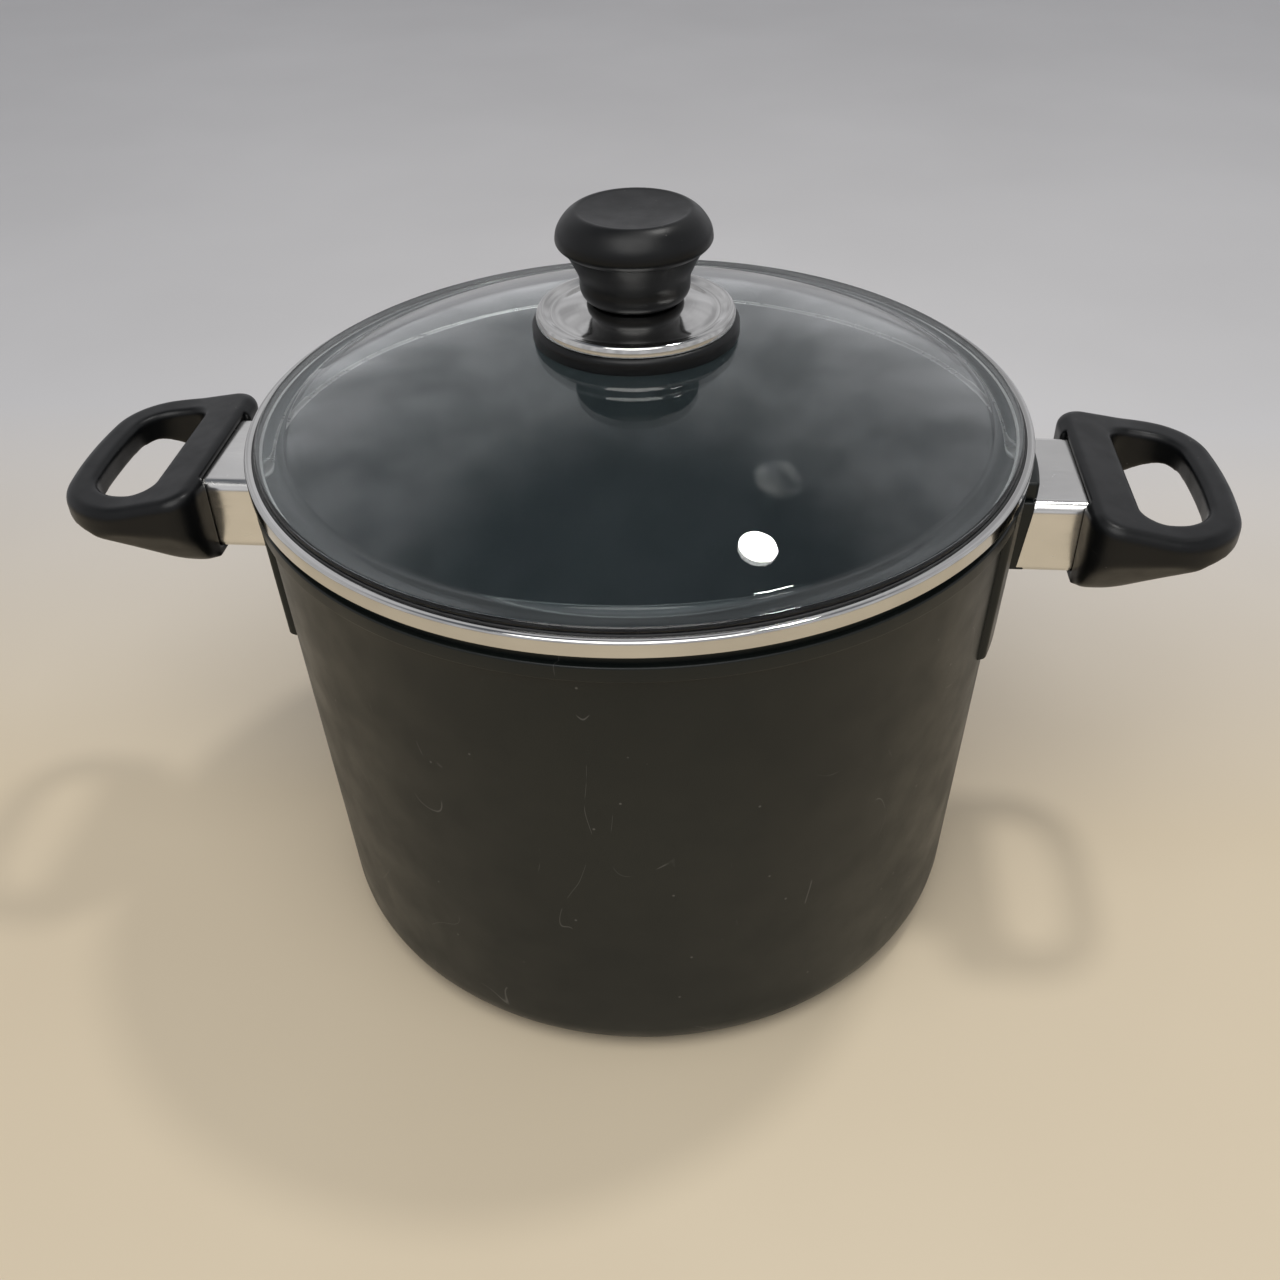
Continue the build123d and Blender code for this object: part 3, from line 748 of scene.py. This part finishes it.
def make_disc(finish):
    """The polished sheet under the knob: flat land, dished slope and a rolled bead."""
    bead, bead_top = DISC_BEAD, DISC_BEAD_TOP
    dished = smooth_line(spots(
        (DISC_LAND, DISC_TOP), (DISC_LAND + 1.5, DISC_TOP - 0.3), (DISC_LAND + 5, DISC_TOP - 1.5),
        (bead - 5.5, bead_top - 0.75), (bead - 3.2, bead_top - 1.2), (bead - 2.2, bead_top - 0.95)))
    rolled = smooth_line(spots(
        (bead - 1.3, bead_top - 0.42), (bead, bead_top), (bead + 1.1, bead_top - 0.4),
        (DISC_RADIUS, bead_top - 1.7)))
    turned_down = spots((DISC_RADIUS, DISC_LOW + 0.2), (DISC_RADIUS - 0.2, DISC_LOW))
    under = []
    for point in reversed(dished + rolled):
        across = point.x - DISC_SHEET * (point.x > bead - 1)
        under.append(Vector((max(across, DISC_HOLE), max(point.y - DISC_SHEET, DISC_LOW))))
    outline = spots((DISC_HOLE, DISC_TOP), (DISC_LAND - 0.5, DISC_TOP))
    outline += dished + rolled + turned_down + spots((DISC_RADIUS - DISC_SHEET, DISC_LOW))
    outline += under + spots((DISC_HOLE, DISC_TOP - DISC_SHEET))
    piece = turn("knob_base_disc", outline, sharp=30)
    dress(piece, finish)
    place(piece, "lid", "polished_steel", "knob_disc")


def make_knob(finish):
    """A flared knob with a rounded foot, a crease under its head and a shallow dish on top."""
    neck, foot, crease, wide = KNOB_NECK, KNOB_FOOT, KNOB_CREASE, KNOB_RADIUS
    flare = smooth_line(spots(
        (neck, foot + KNOB_FOOT_ROUND), (neck + 0.25, foot + 8.5),
        ((neck + KNOB_NECK_TOP) / 2, foot + 12.75), (KNOB_NECK_TOP, crease)), 8)
    head = smooth_line(spots(
        (KNOB_NECK_TOP + 0.2, crease + 0.1), (wide - 1.4, crease + 0.9), (wide - 0.25, crease + 2.1),
        (wide, foot + 20.3), (wide - 0.45, foot + 22.7), (wide - 1.7, foot + 25.0),
        (wide - 3.6, foot + 27.2), (KNOB_DISH + 2, KNOB_TOP - 0.1), (KNOB_DISH, KNOB_TOP - 0.22)))
    corner = []
    for step in range(7):
        angle = math.radians(15 * step)
        across = neck - KNOB_FOOT_ROUND * (1 - math.sin(angle))
        corner.append(Vector((across, foot + KNOB_FOOT_ROUND * (1 - math.cos(angle)))))
    dish = []
    for step in range(1, 9):
        radius = KNOB_DISH * (1 - step / 8)
        dish.append(Vector((radius, KNOB_TOP - 1.1 + 0.88 * (radius / KNOB_DISH) ** 2)))
    outline = spots((0, KNOB_BORE_TOP), (KNOB_BORE, KNOB_BORE_TOP), (KNOB_BORE, foot))
    outline += corner + flare[1:] + head + dish
    piece = turn("knob_moulded", outline, sharp=32)
    dress(piece, finish)
    place(piece, "lid", "phenolic", "knob")


# ---- light, floor and camera ----

CAMERA_AZIMUTH = 5.80       # degrees about Z
CAMERA_PITCH = 37.59        # degrees down
CAMERA_DISTANCE = 506.2 * MM
CAMERA_ROLL = -1.49         # degrees
CAMERA_TARGET = Vector((-1.4, 0, 91.3)) * MM
CAMERA_LENS = 37.2

LIGHT_AIM = Vector((0, 0, 0.12))
KEY_PLACE = (0.33, 0.20, 1.25)
SOFT_PLACE = (0.0, -0.62, 1.3)

FLOOR_NEAR = ((0.68, 0.57, 0.41), (0.74, 0.63, 0.46))
FLOOR_FAR = ((0.64, 0.63, 0.63), (0.70, 0.69, 0.69))
FLOOR_HALF = 4.0            # metres
FLOOR_DROP = 0.2 * MM

SKY_STRENGTH = 1.05
SKY_STOPS = ((0.68, (0.66, 0.66, 0.68, 1)), (0.90, (0.13, 0.14, 0.16, 1)))
FOLD_SCALE = 9.0
FOLD_DARK = 0.62


def add_camera():
    """Looks down at the target, then the whole stand is turned about Z."""
    data = bpy.data.cameras.new("camera")
    data.lens = CAMERA_LENS
    data.sensor_width = 36
    data.clip_start = 0.01
    camera = bpy.data.objects.new("camera", data)
    bpy.context.collection.objects.link(camera)
    pitch = math.radians(CAMERA_PITCH)
    turn_about = Matrix.Rotation(math.radians(CAMERA_AZIMUTH), 4, "Z")
    back = Vector((0, -math.cos(pitch), math.sin(pitch))) * CAMERA_DISTANCE
    stand = Matrix.Translation(CAMERA_TARGET + back)
    tilt = Matrix.Rotation(math.radians(90 - CAMERA_PITCH), 4, "X")
    roll = Matrix.Rotation(math.radians(CAMERA_ROLL), 4, "Z")
    camera.matrix_world = turn_about @ stand @ tilt @ roll
    bpy.context.scene.camera = camera


def add_light(name, position, size, power, colour):
    """A round lamp over the object, turned towards it."""
    data = bpy.data.lights.new(name, "AREA")
    data.shape = "DISK"
    data.size = size
    data.energy = power
    data.color = colour
    lamp = bpy.data.objects.new(name, data)
    bpy.context.collection.objects.link(lamp)
    lamp.location = position
    toward = LIGHT_AIM - Vector(position)
    lamp.rotation_euler = toward.to_track_quat("-Z", "Y").to_euler()


def add_floor():
    """A plain floor, warmer in front of the object than behind it."""
    mesh_data = bmesh.new()
    bmesh.ops.create_grid(mesh_data, x_segments=2, y_segments=2, size=FLOOR_HALF)
    floor = finish_mesh("floor", mesh_data)
    floor.location.z = -FLOOR_DROP
    finish = Finish("floor_paint", Roughness=0.55)
    cloud = finish.uneven(3.0, 3.0)
    split = finish.tree.nodes.new("ShaderNodeSeparateXYZ")
    finish.feed(split, 0, finish.place)
    away = finish.spread(split.outputs[1], 0.0, 0.35)
    near = finish.mixed(cloud, *FLOOR_NEAR)
    far = finish.mixed(cloud, *FLOOR_FAR)
    finish.set("Base Color", finish.mixed(away, near, far))
    dress(floor, finish.material)


def add_world():
    """Pale round the horizon with faint upright folds, darker overhead."""
    world = bpy.data.worlds.new("studio")
    bpy.context.scene.world = world
    world.use_nodes = True
    tree = world.node_tree
    toward = tree.nodes.new("ShaderNodeTexCoord").outputs["Generated"]
    split = tree.nodes.new("ShaderNodeSeparateXYZ")
    tree.links.new(toward, split.inputs[0])
    upright = tree.nodes.new("ShaderNodeMapping")
    upright.inputs["Scale"].default_value = (1, 1, 0.05)
    tree.links.new(toward, upright.inputs["Vector"])
    folds = tree.nodes.new("ShaderNodeTexNoise")
    folds.inputs["Scale"].default_value = FOLD_SCALE
    folds.inputs["Detail"].default_value = 2.0
    tree.links.new(upright.outputs[0], folds.inputs["Vector"])
    depth = tree.nodes.new("ShaderNodeMapRange")
    for index, value in enumerate((0.35, 0.65, FOLD_DARK, 1.0), 1):
        depth.inputs[index].default_value = value
    tree.links.new(folds.outputs[0], depth.inputs[0])
    ramp = tree.nodes.new("ShaderNodeValToRGB")
    ramp.color_ramp.interpolation = "EASE"
    for stop, (position, colour) in zip(ramp.color_ramp.elements, SKY_STOPS):
        stop.position = position
        stop.color = colour
    tree.links.new(split.outputs[2], ramp.inputs[0])
    background = tree.nodes["Background"]
    shade = tree.nodes.new("ShaderNodeVectorMath")
    shade.operation = "MULTIPLY"
    tree.links.new(ramp.outputs[0], shade.inputs[0])
    tree.links.new(depth.outputs[0], shade.inputs[1])
    tree.links.new(shade.outputs[0], background.inputs["Color"])
    background.inputs["Strength"].default_value = SKY_STRENGTH


# ---- the whole scene ----

outside = coating()
polished = steel("polished_steel", (0.66, 0.655, 0.64), 0.10, True, 0.10)
brushed = steel("brushed_steel", (0.80, 0.79, 0.77), 0.20, False, 0.08)
black = phenolic()
worn_edge = plain("worn_edge", (0.42, 0.43, 0.43), (0.60, 0.60, 0.59), 0.30, 1.0, 120.0)
make_pot(outside, lining(), worn_edge)
for side, name in ((1, "right"), (-1, "left")):
    make_seats(side, name, outside)
    make_ferrule(side, name, brushed)
    make_grip(name, black)
make_glass(clear_glass())
make_rim(polished)
make_ring(black)
make_disc(polished)
make_knob(black)

fastener = plain("fastener_steel", (0.48, 0.48, 0.47), (0.62, 0.61, 0.60), 0.26, 1.0)
rubber = plain("seal_rubber", (0.016, 0.016, 0.017), (0.026, 0.026, 0.027), 0.55)
brass = plain("insert_brass", (0.55, 0.40, 0.18), (0.68, 0.50, 0.24), 0.28, 1.0)
make_seal(rubber)
small_parts = {"screw": fastener, "washer": fastener, "gasket": rubber, "insert": brass}
for name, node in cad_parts.items():
    for word, finish in small_parts.items():
        if name.endswith(word):
            dress(node, finish)

add_floor()
add_world()
add_light("key", KEY_PLACE, 0.12, 3.0, (1.0, 0.985, 0.96))
add_light("soft", SOFT_PLACE, 1.1, 10.0, (1.0, 0.99, 0.97))
add_camera()
bpy.context.scene.view_settings.view_transform = "Standard"
